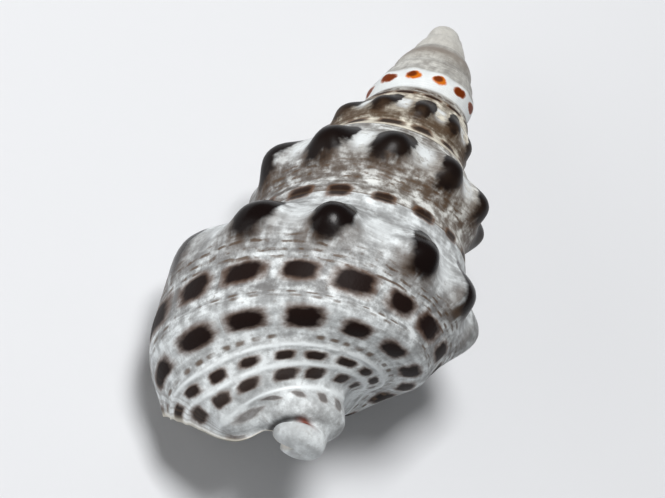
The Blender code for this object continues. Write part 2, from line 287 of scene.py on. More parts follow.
# %% What stands out from the whorl
def knob_count(t):
    """How many knobs lie between the lip and the turn t; whole numbers are the knobs' middles."""
    steps = t - KNOB_FIRST
    for turn, reach, shift in KNOB_NUDGES:
        steps = steps - hill(t - turn, reach) * shift
    return steps * (1 / KNOB_STEP)


def knobs(t, v, size):
    steps = knob_count(t)
    away = maths("ABSOLUTE", steps - maths("ROUND", steps)) / KNOB_WIDTH
    wave = maths("EXPONENT", away ** KNOB_ROUNDNESS * -1.0)
    above = hill(v - KNOB_PLACE, 0.20)
    below = hill(v - KNOB_PLACE, 0.15)
    across = mix(above, below, maths("GREATER_THAN", v, KNOB_PLACE)) * ramp(0.0, 0.12, v)
    near_lip = ramp(0.05, 0.27, t) * 0.5 + 0.5
    near_tip = ramp(3.8, 1.6, t, smooth=False)
    worn = 1 - ramp(0.7, 0.78, t) * (1 - ramp(1.0, 1.08, t)) * 0.9
    return wave * across * near_lip * near_tip * worn * size["Knob height"]


def old_lip(t, v, size):
    """The thick lip that the animal made before it grew on (a varix)."""
    before = hill(t - VARIX_TURN, 0.055)
    after = hill(t - VARIX_TURN, 0.10)
    along = mix(before, after, maths("GREATER_THAN", t, VARIX_TURN))
    across = ramp(0.3, 0.8, v) * 0.38 + ramp(1.0, 1.3, v) * 0.9 + ramp(1.3, 1.6, v) * 0.2
    return along * across * (1 - ramp(1.8, 2.3, v)) * size["Old lip height"]


def belly(t, v):
    """The body whorl is a little flat beside the mouth, and rounded where no seam will follow."""
    beside_mouth = ramp(0.76, 0.84, t) * (1 - ramp(0.97, 1.05, t))
    beside_mouth = beside_mouth * ramp(0.08, 0.35, v) * (1 - ramp(1.3, 1.7, v))
    keel = hill(v - 1.02, 0.14) * ramp(0.03, 0.15, t) * (1 - ramp(0.6, 0.95, t))
    return beside_mouth * -0.5 - keel * 0.38


# %% Fine relief
def cords(t, v, size):
    """Low beaded cords that carry the spots, and the fine white ridges between them."""
    total = 0.0
    for place, half, count, first, _, _, height in SPOT_ROWS:
        beads = cosine((t - first) * (2 * math.pi * count)) * 0.35 + 0.65
        total = hill(v - place, half * 1.1) * beads * height + total
    for place, half in WHITE_RIDGES:
        total = hill(v - place, half) * RIDGE_HEIGHT + total
    away_from_tip = ramp(4.2, 3.0, t)
    return total * away_from_tip * size["Cord height"]


# %% The whorl
def direction_out(v):
    ahead, behind = profile(v + 1e-3), profile(v - 1e-3)
    along = (ahead - behind) / np.linalg.norm(ahead - behind)
    return along[1], -along[0]


def whorl(t, v, raised, size):
    """Radius and height of the surface, before the lip and the canal."""
    radius = follow(v, lambda x: profile(x)[0], 0, 3)
    height = follow(v, lambda x: profile(x)[1], 0, 3)
    shrink = size["Growth"] ** (v * -1)
    bulge = (1 - ramp(1.8, 3.8, t, smooth=False) * 0.48) * (1 - ramp(TURNS - 1, TURNS, t))
    share = most(bulge, maths("GREATER_THAN", v, 1.0001))
    radius = mix(shrink * SUTURE[0], radius, share)
    height = mix(shrink * SUTURE[1], height, share)
    radius = radius + raised * follow(v, lambda x: direction_out(x)[0], 0, 3)
    height = height + raised * follow(v, lambda x: direction_out(x)[1], 0, 3)
    back = t - least(v, 1.0)
    scale = size["Growth"] ** t
    fill = hill(v, 0.13) + hill(v - 1, 0.13)
    fill = fill * size["Growth"] ** (t - v) * ramp(0.0, 0.3, t - v) * SUTURE_FILL
    fill = fill * (1 - ramp(TURNS - 1.2, TURNS, t - v + 1))
    grown_out = maths("EXPONENT", follow(back, lambda x: drift(x)[0], -1, TURNS))
    grown_along = maths("EXPONENT", follow(back, lambda x: drift(x)[1], -1, TURNS))
    return radius * scale * grown_out + fill, height * scale * grown_along


# %% The lip, the neck and the point itself
def edge_shift(v):
    """How far the flared edge of the lip stands from the plain whorl."""
    plain = profile(v) * np.exp(drift(-min(v, 1.0)))
    return lip_edge(min(v, 2.35)) - plain


def lip_forward(v):
    return ramp(0.15, 0.6, v) * (1 - ramp(1.05, 1.75, v)) * LIP_FORWARD


def shell_point(t, v, size):
    on_seam = maths("COMPARE", v, 1.0, 1e-4) * maths("GREATER_THAN", t, 0.9999)
    t, v = t - on_seam, v - on_seam       # a seam shares its points with the whorl before it
    raised = knobs(t, v, size) + old_lip(t, v, size) + belly(t, v) + cords(t, v, size)
    radius, height = whorl(t, v, raised, size)
    near = hill(t, 0.085)
    radius = radius + near * follow(v, lambda x: edge_shift(x)[0], 0, 3)
    height = height + near * follow(v, lambda x: edge_shift(x)[1], 0, 3)
    turn = t * (2 * math.pi) + LIP_AZIMUTH - lip_forward(v) * hill(t, 0.1)
    lean = most(1 - height / LEAN_BELOW, 0.0)
    lean = lean * lean
    body = (radius * sine(turn) + lean * TIP_LEAN[0], radius * cosine(turn) + lean * TIP_LEAN[1], height)
    opening = ramp(1.9, 2.3, v)
    slot = opening * SLOT
    turn = (slot / 2 + t * (1 - slot)) * (2 * math.pi) + LIP_AZIMUTH - opening * math.radians(12)
    groove = hill(v - 2.5, 0.06) * (cosine(turn + 0.5) * 0.5 + 0.5) * CANAL_GROOVE
    ring = follow(v, lambda x: canal(x)[1], 1.6, 3) - groove
    lift = sine(turn) * ramp(1.75, 2.0, v) * (1 - ramp(2.35, 2.7, v)) * -CANAL_TILT
    neck = (follow(v, lambda x: canal(x)[2], 1.6, 3) + ring * sine(turn),
            follow(v, lambda x: canal(x)[3], 1.6, 3) + ring * cosine(turn),
            follow(v, lambda x: canal(x)[0], 1.6, 3) + lift)
    start = near * 0.35 + 1.75
    share = ramp(start, start + 0.5, v)
    return [mix(a, b, share) for a, b in zip(body, neck)]


# %% [markdown]
# ## Building the node trees
# Named inputs make the sizes easy to change from the modifier panel. The whorls, the base, the tip and the
# mouth all use the rule, so it sits in a group of its own.

# %% Trees with named inputs
SIZES = {"Growth": GROWTH, "Knob height": 0.95, "Old lip height": 1.55, "Cord height": 1.0}
COUNTS = {"Segments per turn": 200, "Rows per whorl": 48, "Rows on the base": 80}


def new_tree(name, inputs, outputs):
    tree = bpy.data.node_groups.new(name, "GeometryNodeTree")
    for label, kind, value in inputs:
        socket = tree.interface.new_socket(label, in_out="INPUT", socket_type=kind)
        if value is not None:
            socket.default_value = value
    for label, kind in outputs:
        tree.interface.new_socket(label, in_out="OUTPUT", socket_type=kind)
    entry = tree.nodes.new("NodeGroupInput")
    leave = tree.nodes.new("NodeGroupOutput")
    return tree, {label: Field(tree, entry.outputs[label]) for label, _, _ in inputs}, leave


def combine(x, y, z):
    tree = next(value.tree for value in (x, y, z) if isinstance(value, Field))
    node = tree.nodes.new("ShaderNodeCombineXYZ")
    for socket, value in zip(node.inputs, (x, y, z)):
        plug(tree, socket, value)
    return Field(tree, node.outputs[0])


def separate(vector):
    node = vector.tree.nodes.new("ShaderNodeSeparateXYZ")
    plug(vector.tree, node.inputs[0], vector)
    return [Field(vector.tree, socket) for socket in node.outputs]


# %% The rule as a group
number_inputs = [(label, "NodeSocketFloat", value) for label, value in SIZES.items()]
rule, wires, leave = new_tree("Shell rule",
                              [("Turn", "NodeSocketFloat", 0.0), ("Place", "NodeSocketFloat", 0.0)]
                              + number_inputs, [("Point", "NodeSocketVector")])
plug(rule, leave.inputs["Point"], combine(*shell_point(wires["Turn"], wires["Place"], wires)))
print("nodes in the rule:", len(rule.nodes))


def use_rule(tree, t, v, sizes):
    node = tree.nodes.new("GeometryNodeGroup")
    node.node_tree = rule
    plug(tree, node.inputs["Turn"], t)
    plug(tree, node.inputs["Place"], v)
    for label in SIZES:
        plug(tree, node.inputs[label], sizes[label])
    return separate(Field(tree, node.outputs["Point"]))


# %% A bent grid
counts = [(label, "NodeSocketInt", value) for label, value in COUNTS.items()]
tree, wires, leave = new_tree("Cerith shell", number_inputs + counts
                              + [("Material", "NodeSocketMaterial", None)],
                              [("Geometry", "NodeSocketGeometry")])
position = Field(tree, tree.nodes.new("GeometryNodeInputPosition").outputs[0])
grid_x, grid_y, _ = separate(position)


def grid(columns, rows, width, depth):
    """A flat grid from (0, 0) to (width, depth)."""
    node = tree.nodes.new("GeometryNodeMeshGrid")
    node.inputs["Size X"].default_value = width
    node.inputs["Size Y"].default_value = depth
    plug(tree, node.inputs["Vertices X"], maths("FLOOR", columns + 1.5))
    plug(tree, node.inputs["Vertices Y"], maths("FLOOR", rows + 1.5))
    move = tree.nodes.new("GeometryNodeTransform")
    tree.links.new(node.outputs["Mesh"], move.inputs["Geometry"])
    move.inputs["Translation"].default_value = (width / 2, depth / 2, 0)
    return move.outputs["Geometry"]


def store(geometry, name, value, kind, domain):
    node = tree.nodes.new("GeometryNodeStoreNamedAttribute")
    node.data_type = kind
    node.domain = domain
    tree.links.new(geometry, node.inputs["Geometry"])
    node.inputs["Name"].default_value = name
    plug(tree, node.inputs["Value"], value)
    return node.outputs["Geometry"]


def bend(geometry, t, v, inside, point):
    """Keeps t and v as a UV map on the grid, then moves the grid to the surface."""
    geometry = store(geometry, "spiral", combine(t, v, 0.0), "FLOAT2", "CORNER")
    geometry = store(geometry, "inside", inside, "FLOAT", "POINT")
    node = tree.nodes.new("GeometryNodeSetPosition")
    tree.links.new(geometry, node.inputs["Geometry"])
    plug(tree, node.inputs["Position"], combine(*point))
    return node.outputs["Geometry"]


# %% The whorls and the base
around, up_whorl, up_base = (wires[label] for label in COUNTS)
whorls = bend(grid(around * TURNS, up_whorl, TURNS, 1),
              grid_x, grid_y, 0.0, use_rule(tree, grid_x, grid_y, wires))
base = bend(grid(around, up_base, 1, 2),
            grid_x, grid_y + 1, 0.0, use_rule(tree, grid_x, grid_y + 1, wires))

# %% [markdown]
# ## The tip
# The winding is stopped after some six turns, where the shell is about two millimetres wide. A small dome
# closes it. Its rim follows the last seam once round and then climbs across the cut end of the whorl.

# %% The dome at the tip
TIP_HEIGHT, DOME_RADIUS, DOME_BASE = 1.4, 0.99, 2.5
DOME_ROWS = 10


def walk(distance, lengths):
    """How far along each stretch of a path a distance has come, as shares from 0 to 1."""
    shares = []
    for length in lengths:
        shares.append(least(most(distance / length, 0.0), 1.0))
        distance = distance - length
    return shares


rim_steps = around + up_whorl
rim = grid_x * rim_steps
seam, climb = walk(rim, [around, up_whorl])
tip_turn, tip_place = seam + (TURNS - 1), climb
edge = use_rule(tree, tip_turn, tip_place, wires)
outwards, upwards = cosine(grid_y * (math.pi / 2)), sine(grid_y * (math.pi / 2))
top_lean = (1 - TIP_HEIGHT / LEAN_BELOW) ** 2
top = (TIP_LEAN[0] * top_lean, TIP_LEAN[1] * top_lean)
own = [mix(top[0], edge[0], outwards), mix(top[1], edge[1], outwards), mix(edge[2], TIP_HEIGHT, upwards)]
turn = grid_x * (2 * math.pi) + (LIP_AZIMUTH + 2 * math.pi * (TURNS - 1))
dome = [sine(turn) * outwards * DOME_RADIUS + top[0], cosine(turn) * outwards * DOME_RADIUS + top[1],
        mix(DOME_BASE, TIP_HEIGHT, upwards)]
even = ramp(0.0, 0.5, grid_y)
tip = bend(grid(rim_steps, around * 0 + DOME_ROWS, 1, 1), tip_turn, tip_place, 0.0,
           [mix(a, b, even) for a, b in zip(own, dome)])

# %% [markdown]
# ## The mouth and the hollow
# A grid runs once round the rim of the mouth: along the lip, over the end of the canal and back along
# the pillar (columella). From there its rows bend inwards on a Bezier curve, follow the spiral for half
# a turn, and close. Hardly anything further in could be seen from outside.

# %% Where the rim of the mouth runs
HOLLOW_START, HOLLOW_END = 0.12, 0.60           # turns behind the lip
BEND_ROWS, HOLLOW_ROWS, CLOSE_ROWS = 16, 20, 3
depth_rows = BEND_ROWS + HOLLOW_ROWS + CLOSE_ROWS

mouth_steps = around * 0 + up_whorl + up_base * 2
lip_low, lip_high, pillar = walk(grid_x * mouth_steps, [up_whorl, up_base, up_base])
place = lip_low + lip_high * 2 - pillar * 2
on_pillar = maths("GREATER_THAN", pillar, 1e-4)
rim_point = use_rule(tree, on_pillar, place, wires)
across_point = use_rule(tree, 1 - on_pillar, place, wires)

# %% The wall behind the rim
bending, winding, closing = walk(grid_y * depth_rows, [BEND_ROWS, HOLLOW_ROWS, CLOSE_ROWS])
hollow_turn = mix(HOLLOW_START, HOLLOW_END, winding) + closing * 0.05


def half_plane(radius, height, t, back=0.0):
    """A point that stands t turns behind the lip, at the size the shell had there."""
    scale = wires["Growth"] ** t
    turn = t * (2 * math.pi) + LIP_AZIMUTH - back
    return [radius * scale * sine(turn), radius * scale * cosine(turn), height * scale]


def on_both_sides(lip_curve, pillar_curve, column):
    lip = follow(place, lambda x: lip_curve(x)[column], 0, 3)
    pillar_side = follow(place, lambda x: pillar_curve(x)[column], 1, 3)
    return mix(lip, pillar_side, on_pillar)


deep_radius = on_both_sides(hollow_out, hollow_in, 0)
deep_height = on_both_sides(hollow_out, hollow_in, 1)
deep = half_plane(deep_radius, deep_height, hollow_turn)

# %% The floor of the canal and the flare of the lip
# where the middle point of the Bezier curve lies: mm below the rim, share of the canal's width
CANAL_DEPTH, CANAL_FLOOR_SHARE = 0.55, 0.3
zero_turn = place * 0
flare = half_plane(follow(place, lambda x: mouth(x)[0], 0, 3),
                   follow(place, lambda x: mouth(x)[1], 0, 3), zero_turn, lip_forward(place))
inner = half_plane(follow(place, lambda x: hollow_in(x)[0], 1, 3),
                   follow(place, lambda x: hollow_in(x)[1], 1, 3), zero_turn)
corner = half_plane(mouth(0)[0], mouth(0)[1], zero_turn)
inner = [mix(c, (a + b) * 0.5, ramp(1.0, 1.2, place))
         for a, b, c in zip(inner, rim_point, corner)]
centre = [follow(place, lambda x, k=k: canal(min(x, 2.9))[k], 1.6, 3) for k in (2, 3, 0)]
centre[2] = centre[2] - 0.5
halfway = [(a + b) * 0.5 for a, b in zip(rim_point, across_point)]
inwards = [a - b for a, b in zip(centre, halfway)]
length = maths("SQRT", inwards[0] * inwards[0] + inwards[1] * inwards[1] + inwards[2] * inwards[2])
canal_floor = [m + i / length * CANAL_DEPTH + (p - m) * CANAL_FLOOR_SHARE
               for m, i, p in zip(halfway, inwards, rim_point)]
in_canal = ramp(1.9, 2.3, place)
middle = [mix(mix(a, b, on_pillar), c, in_canal) for a, b, c in zip(flare, inner, canal_floor)]

# %% The mouth as one bent grid
CORE_RADIUS = sum(row[1] for row in HOLLOW_OUT + HOLLOW_IN) / len(HOLLOW_OUT + HOLLOW_IN)
CORE_HEIGHT = sum(row[2] for row in HOLLOW_OUT + HOLLOW_IN) / len(HOLLOW_OUT + HOLLOW_IN)
core = half_plane(CORE_RADIUS, CORE_HEIGHT, hollow_turn)
rest = 1 - bending
wall = [rest * rest * a + rest * bending * 2 * b + bending * bending * c
        for a, b, c in zip(rim_point, middle, deep)]
wall = [mix(a, b, closing) for a, b in zip(wall, core)]
inside = bend(grid(mouth_steps, around * 0 + depth_rows, 1, 1), on_pillar, place,
              ramp(0.0, 0.1, grid_y), wall)

# %% Join, close and hand over
WELD = 0.002                                          # millimetres
join = tree.nodes.new("GeometryNodeJoinGeometry")
for part in (whorls, base, tip, inside):
    tree.links.new(part, join.inputs[0])
merge = tree.nodes.new("GeometryNodeMergeByDistance")
merge.inputs["Distance"].default_value = WELD
realize = tree.nodes.new("GeometryNodeRealizeInstances")
finish = tree.nodes.new("GeometryNodeSetMaterial")
tree.links.new(join.outputs[0], merge.inputs["Geometry"])
tree.links.new(merge.outputs[0], realize.inputs[0])
tree.links.new(realize.outputs[0], finish.inputs["Geometry"])
plug(tree, finish.inputs["Material"], wires["Material"])
tree.links.new(finish.outputs[0], leave.inputs["Geometry"])
print("nodes in the shell's tree:", len(tree.nodes))

# %% [markdown]
# ## The finish
# The colour of a shell is laid down by the edge of the animal's mantle while the lip grows. A pigment
# cell that stays on draws a line along the whorl, and one that goes on and off draws a row of spots. So
# the pattern follows the same two numbers as the shape, and every row of spots is one pulse that repeats
# with t at one place v. Chance changes the place, the width and the height of each spot a little.

# %% Colours (sRGB shares, turned into linear light)
def light(red, green, blue):
    shares = [c / 12.92 if c <= 0.04045 else ((c + 0.055) / 1.055) ** 2.4 for c in (red, green, blue)]
    return (*shares, 1.0)


WHITE = light(0.93, 0.95, 0.955)
CREAM = light(0.93, 0.91, 0.85)
DUSK = light(0.31, 0.30, 0.30)
BROWN_DUSK = light(0.30, 0.225, 0.15)
LINE = light(0.36, 0.29, 0.23)
SPOT = light(0.10, 0.05, 0.035)
SPOT_EDGE = light(0.40, 0.27, 0.17)
# Near black: the pigment of the knob caps, and painted shade in the groove of the neck.
CAP_AND_GROOVE_SHADE = light(0.07, 0.04, 0.035)
TAIL = light(0.30, 0.23, 0.17)
ORANGE = light(0.80, 0.42, 0.06)
BURNT = light(0.36, 0.11, 0.01)
GREY = light(0.52, 0.48, 0.44)
TIP = light(0.82, 0.81, 0.78)
STAIN = light(0.45, 0.20, 0.13)
INSIDE = light(0.88, 0.86, 0.83)

# %% [markdown]
# The material reads the UV map that the grids kept, so the marks stay on the cords they belong to. Cloudy
# parts read Object coordinates, which have the same scale everywhere. Noise makes three kinds of chance:
# a number per spot, a mottle along the whorl, and clouds.

# %% What the finish reads
shell_lime = bpy.data.materials.new("shell_lime")
shell_lime.use_nodes = True
ink = shell_lime.node_tree
shader = ink.nodes["Principled BSDF"]
uv_map = ink.nodes.new("ShaderNodeUVMap")
uv_map.uv_map = "spiral"
t, v, _ = separate(Field(ink, uv_map.outputs[0]))
inside_reader = ink.nodes.new("ShaderNodeAttribute")
inside_reader.attribute_name = "inside"
inside_share = Field(ink, inside_reader.outputs["Fac"])
around_object = Field(ink, ink.nodes.new("ShaderNodeTexCoord").outputs["Object"])


# %% Three kinds of chance
def noise(where, scale, detail=2.0, roughness=0.5):
    node = ink.nodes.new("ShaderNodeTexNoise")
    plug(ink, node.inputs["Vector"], where)
    node.inputs["Scale"].default_value = scale
    node.inputs["Detail"].default_value = detail
    node.inputs["Roughness"].default_value = roughness
    return Field(ink, node.outputs[0])


def mottle(along, across, seed, detail=2.0):
    """Noise with that many patches in a turn and across a whorl."""
    return noise(combine(t * along, v * across, t * 0 + seed), 1.0, detail)


def chance(number, seed):
    """A number from 0 to 1 that stays the same all over one spot."""
    where = combine(number, number * 0 + seed, number * 0)
    node = ink.nodes.new("ShaderNodeTexWhiteNoise")
    node.noise_dimensions = "2D"
    plug(ink, node.inputs["Vector"], where)
    return Field(ink, node.outputs["Value"])


# %% Two helpers for paint
def between(start, full, fading, end, x):
    """1 from full to fading, 0 before start and after end."""
    return ramp(start, full, x) * (1 - ramp(fading, end, x))


def paint(under, colour, share):
    """Lays a colour over what is there, for a share from 0 to 1."""
    node = ink.nodes.new("ShaderNodeMix")
    node.data_type = "RGBA"
    node.clamp_factor = True
    plug(ink, node.inputs[0], share)
    plug(ink, node.inputs[6], under)
    plug(ink, node.inputs[7], colour)
    return Field(ink, node.outputs[2])


# %% [markdown]
# The ground is white, and creamier up the spire. Grey-brown washes lie over it in streaks and patches, and
# how deep they are depends on the place across the whorl. On the spire, painted shade is added to the wash
# next to the seam where each whorl meets the older one. A wash hides the ground as a dye does: its share
# is one minus an exponential of its depth, which keeps thin places light and lets thick ones fill in.

# %% Clouds, patches and streaks
CLOUD_SCALE, PATCH_SCALE, FINE_SCALE = 420.0, 1300.0, 3000.0      # per metre
clouds = noise(around_object, CLOUD_SCALE, 3.0, 0.6)
patches = noise(around_object, PATCH_SCALE, 4.0, 0.65)
fine = noise(around_object, FINE_SCALE, 2.0, 0.6)
spiral = mottle(32.0, 24.0, 8.3, 3.0)                 # short streaks along the whorl
growth = mottle(70.0, 3.0, 3.1, 3.0)                  # long streaks across it, the lines of growth
streaks = mix(spiral * 0.6 + growth * 0.4, 0.5, ramp(1.6, 1.9, v))
on_ridge = sum(hill(v - place, half) for place, half in WHITE_RIDGES) + hill(v - 1.95, 0.035)
on_spire = ramp(0.98, 1.04, t)

# %% Ground colour, washes and painted seam shade
WASH_BY_PLACE = [(0.0, 0.50), (0.15, 0.46), (0.30, 0.50), (0.50, 0.50), (0.66, 0.58), (0.76, 0.70),
                 (0.86, 0.74), (0.98, 0.72), (1.08, 0.58), (1.16, 0.44), (1.30, 0.40), (1.45, 0.46),
                 (1.60, 0.42), (1.75, 0.38), (1.88, 0.40), (2.0, 0.38), (2.2, 0.36), (2.5, 0.60),
                 (3.0, 0.62)]
WORN_WASH = 0.40                                      # on the old whorls, the same at every place
wash_by_place = through(WASH_BY_PLACE)
wash_and_seam_shade = follow(v, lambda x: wash_by_place(x)[0], 0, 3) * (1 - on_ridge * ramp(0.3, 0.55, patches))
# The hill at v = 0 on the spire is painted shade in the crease of the seam; the band lower down is brown
# pigment below the caps.
wash_and_seam_shade = wash_and_seam_shade + (hill(v, 0.13) * 0.30 + between(0.56, 0.66, 0.76, 0.84, v) * 0.25 - 0.04) * on_spire
pale_edge = between(0.74, 0.82, 1.0, 1.02, v) * between(1.8, 1.9, 2.6, 2.9, t)
worn = ramp(2.75, 3.0, t)
wash_and_seam_shade = mix(wash_and_seam_shade * (1 - pale_edge * 0.75), WORN_WASH, worn)
uneven = mix(ramp(0.40, 0.62, clouds * 0.2 + patches * 0.45 + streaks * 0.35), 0.45, worn * 0.45)
wash_colour = paint(DUSK, BROWN_DUSK, ramp(0.9, 1.5, t) * 0.8 + 0.2 - worn * 0.5)
ground = paint(WHITE, CREAM, ramp(0.9, 2.2, t) - worn * 0.5)
minus_depth = wash_and_seam_shade * mix(0.08, 2.1, uneven) * mix(-1.3, -1.9, on_spire)
colour = paint(ground, wash_colour, 1 - maths("EXPONENT", minus_depth))
colour = paint(colour, LINE, ramp(0.60, 0.74, fine) * wash_and_seam_shade * 0.6)

# %% [markdown]
# Between the knobs and the first row of spots the shell has fine spiral lines. They waver, and they are
# broken where the mottle is low.

# %% Fine lines along the whorl
LINE_STEP = 0.047                                     # in v
wavering = (mottle(22.0, 5.0, 7.7, 3.0) - 0.5) * 0.085
line_wave = sine((v + wavering) * (2 * math.pi / LINE_STEP)) * 0.5 + 0.5
line_band = between(0.62, 0.70, 0.81, 0.86, v)
broken = ramp(0.42, 0.62, mottle(80.0, 17.0, 1.3, 3.0))
on_last_whorls = ramp(2.4, 1.4, t)
colour = paint(colour, LINE, ramp(0.45, 0.9, line_wave) * line_band * broken * on_last_whorls * 0.85)

# %% [markdown]
# A spot is a rounded box, with a width and a height that chance draws. No point is near two rows at once,
# so the finish first looks up the row that a place belongs to, and works out one spot for it. A spot for
# every row would need more room than the renderer gives one material.


# %% A row of spots
SPOT_SHAPE = 3.4                                      # 2 would be an oval


def spot_far(turn, across, row, seed):
    """How far a point is from the nearest spot of a row: 0 in the middle of the spot, 1 on its edge."""
    place, half, count, first, dark = row
    steps = (turn - first) * count
    number = maths("ROUND", steps)
    shift = (chance(number, seed) - 0.5) * 0.12
    width = (chance(number, seed + 1) * 0.18 + 0.41) * dark
    height = (chance(number, seed + 2) * 0.42 + 0.79) * half
    away = maths("ABSOLUTE", steps - number + shift) / width
    up = maths("ABSOLUTE", across - place) / height
    return (away ** SPOT_SHAPE + up ** SPOT_SHAPE) ** (1 / SPOT_SHAPE)


def row_at(across, rows):
    """The measures of the row that a place across the whorl belongs to, out of a sorted list of rows."""
    found = list(rows[0])
    for last, row in zip(rows, rows[1:]):
        past = maths("GREATER_THAN", across, (last[0] + row[0]) / 2)
        found = [value + past * (new - old) for value, old, new in zip(found, last, row)]
    return found


# %% Spots on the cords
away_from_tip = ramp(3.1, 2.6, t)
*row, strength = row_at(v, [measures[:6] for measures in SPOT_ROWS])
strength = strength * (1 - on_spire * (1 - ramp(1.0, 1.1, v)))
strength = strength * (1 - ramp(0.53, 0.62, t) * ramp(1.40, 1.45, v))
ragged = (mottle(60.0, 20.0, 11.0) - 0.5) * 0.6
far = spot_far(t, v, row, row[0]) + ragged
colour = paint(colour, SPOT_EDGE, (1 - ramp(0.85, 1.55, far)) * strength * 0.75)
dark_spot = (1 - ramp(0.70, 1.26, far)) * strength
colour = paint(colour, SPOT, dark_spot)

# %% [markdown]
# On the spire the next whorl has grown over the lower rows. Only one row still shows, on the seam or near
# it, so it is drawn twice: on the whorl above the seam, and on the one below, a turn nearer to the lip.

# %% Spots on the seams of the spire
SEAM_ROW = (0.990, 0.060, 16.4, 1.195, 0.50)          # on the whorl next to the last one
HIGHER_ROW = (0.870, 0.070, 13.3, 2.262, 0.62)        # on the older one, a little above the seam
HIGHEST_ROW = (1.060, 0.035, 13.2, 3.178, 0.68)       # next to the orange spots, below the seam
HIGHER_FROM, HIGHEST_FROM = 1.774, 2.826              # turns, between two spots
below = maths("LESS_THAN", v, 0.5)
higher = maths("GREATER_THAN", t + below, HIGHER_FROM)
highest = maths("GREATER_THAN", t + below, HIGHEST_FROM)
seam_row = [mix(mix(low, high, higher), top, highest)
            for low, high, top in zip(SEAM_ROW, HIGHER_ROW, HIGHEST_ROW)]
seam_far = spot_far(t + below, v + below, seam_row, 30.0) + ragged
on_seam = (1 - ramp(0.5, 1.5, seam_far)) * mix(on_spire, ramp(0.02, 0.1, t), below) * away_from_tip
colour = paint(colour, SPOT_EDGE, ramp(0.0, 0.5, on_seam) * 0.75)
colour = paint(colour, SPOT, ramp(0.30, 1.0, on_seam) * 0.9)

# %% [markdown]
# Between the cords of the last whorl run rows of small dots, often missing. One more row, without gaps,
# is only a tenth of a turn long and stops just before the old lip.

# %% Rows of small dots
# place, half height (in v), dots in a turn, first dot (turns), dark share, strength
SMALL_ROWS = [(1.035, 0.015, 44.0, 0.010, 0.50, 0.80), (1.085, 0.013, 41.0, 0.022, 0.46, 0.60),
              (1.300, 0.024, 47.0, 0.662, 0.42, 0.90), (1.428, 0.020, 40.0, 0.015, 0.56, 0.85)]
*row, amount = row_at(v, SMALL_ROWS)
only_there = mix(1 - on_spire, between(0.61, 0.64, 0.70, 0.72, t), between(1.19, 1.20, 1.36, 1.37, v))
gaps = ramp(0.38, 0.55, mottle(20.0, 5.0, 60.0))
dots = (1 - ramp(0.5, 1.5, spot_far(t, v, row, row[0]) + ragged)) * amount * only_there
colour = paint(colour, LINE, dots * most(gaps, ramp(1.1, 1.2, v) - ramp(1.36, 1.4, v)))

# %% [markdown]
# The knobs carry the darkest pigment. Each cap has a sharp round edge towards the tip and fades the
# other way in a few brown streaks. White is laid between two caps. On the spire the caps are wider, and
# their upper ends lean away from the lip.

# %% Where the caps lie
CAP_SHAPE, CAP_HALF = 2.4, 0.25                       # 2 would be an oval; half height in v
steps = knob_count(t)
knob_number = maths("ROUND", steps)
above_body = ramp(0.8, 1.1, t)
beside = (steps - knob_number + (chance(knob_number, 71.0) - 0.5) * 0.10) * KNOB_STEP
beside = beside - above_body * 0.005 + hill(t - 1.53, 0.05) * 0.012
cap_width = chance(knob_number, 72.0) * 0.005 + above_body * 0.005 + 0.0190
cap_middle = chance(knob_number, 73.0) * 0.06 + 0.395
over_middle = (v - cap_middle) / CAP_HALF

# %% The edge of a cap
rough_edge = (mottle(56.0, 12.0, 75.0, 3.0) - 0.5) * 0.6
leaning = (beside + above_body * over_middle * 0.009) / cap_width
cap_far = maths("ABSOLUTE", leaning) ** CAP_SHAPE + maths("ABSOLUTE", over_middle) ** CAP_SHAPE
cap_far = cap_far ** (1 / CAP_SHAPE)
softness = mix(0.07, 0.24, ramp(-0.3, 0.7, over_middle))
rough_edge = rough_edge * mix(0.35, 1.0, ramp(-0.6, 0.5, over_middle)) * (above_body * 0.5 + 1)
cap = 1 - ramp(1 - softness, 1 + softness, cap_far + rough_edge)

# %% Tails, pale gaps and caps
tail_lean = (v - 0.5) * 0.030
tail_width = cap_width * (1.45 - above_body * 0.35)
tail_shape = hill(beside + tail_lean, tail_width) * between(0.44, 0.54, 0.64, 0.84, v)
tail = tail_shape * ramp(0.26, 0.52, mottle(80.0, 5.0, 77.0, 3.0))
knob_life = ramp(0.04, 0.14, t) * 0.3 + 0.7           # the newest knobs are a little paler
body_gap = 1 - between(0.50, 0.56, 0.60, 0.68, t) * 0.85 - between(0.60, 0.68, 0.94, 1.04, t) * 0.5
up_spire = ramp(3.05, 2.5, t)
gap = ramp(0.50, 0.90, maths("ABSOLUTE", steps - knob_number) * 2)
gap = gap * between(0.24, 0.34, 0.50, 0.62, v) * (on_spire * 0.45 + 0.55)
colour = paint(colour, WHITE, gap * up_spire * ramp(0.40, 0.52, patches) * 0.85)
colour = paint(colour, TAIL, tail * up_spire * body_gap)
colour = paint(colour, CAP_AND_GROOVE_SHADE, cap * up_spire * knob_life * body_gap)

# %% [markdown]
# Going up the spire the shell is older and more worn: browner for two whorls, then white with a row of
# spots, then grey, and pale at the tip. Two of the spots are still orange round a burnt middle, and the
# others are burnt all over.

# %% Browner whorls
browner = between(1.0, 2.2, 2.85, 3.1, t) * 0.6
colour = paint(colour, TAIL, browner * between(0.42, 0.58, 0.68, 0.78, v)
               * (ramp(0.35, 0.65, mottle(40.0, 8.0, 81.0)) * 0.6 + 0.25))

